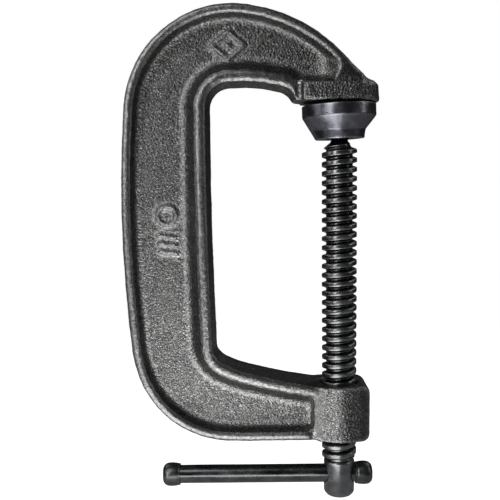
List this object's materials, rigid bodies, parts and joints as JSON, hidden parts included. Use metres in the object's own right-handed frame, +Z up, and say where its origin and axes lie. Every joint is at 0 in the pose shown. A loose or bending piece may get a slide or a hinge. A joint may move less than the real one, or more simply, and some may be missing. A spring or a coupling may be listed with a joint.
{
  "type": "c clamp",
  "caption": "C-shaped cast clamp with an I-section frame, flat anvil, threaded boss, coarse screw with swivel pad, and a sliding tommy bar.",
  "frame": {"origin": "centre of the anvil face, on the screw's axis", "axes": "+Z up along the screw towards the anvil, +X from the screw away from the spine, spine at -X"},
  "size_m": [0.1038, 0.0298, 0.2007],
  "materials": {
    "frame_casting": "sand-cast, dark grey, satin",
    "screw_steel": "black oxide, oiled",
    "pad_steel": "pressed and blackened, satin",
    "bar_steel": "black oxide, smooth",
    "cap_steel": "black oxide, satin"
  },
  "bodies": {
    "frame": {"clamp_frame": "frame_casting"},
    "pad": {"swivel_pad": "pad_steel"},
    "screw": {"clamp_screw": "screw_steel"},
    "handle": {"handle_bar": "bar_steel", "handle_cap_left": "cap_steel", "handle_cap_right": "cap_steel"}
  },
  "joints": [
    {"name": "jaw_travel", "type": "slide", "parent": "frame", "child": "pad", "axis": [0, 0, 1], "range_m": [-0.0981, 0]},
    {"name": "screw_turn", "type": "hinge", "parent": "pad", "child": "screw", "pos_m": [0, 0, 0], "axis": [0, 0, 1], "range_deg": [-9360, 0]},
    {"name": "handle_slide", "type": "slide", "parent": "screw", "child": "handle", "axis": [1, 0, 0], "range_m": [0, 0.06]}
  ],
  "couplings": [
    {"joint": "jaw_travel", "follows": "screw_turn", "m_per_rad": 0.00060001}
  ]
}
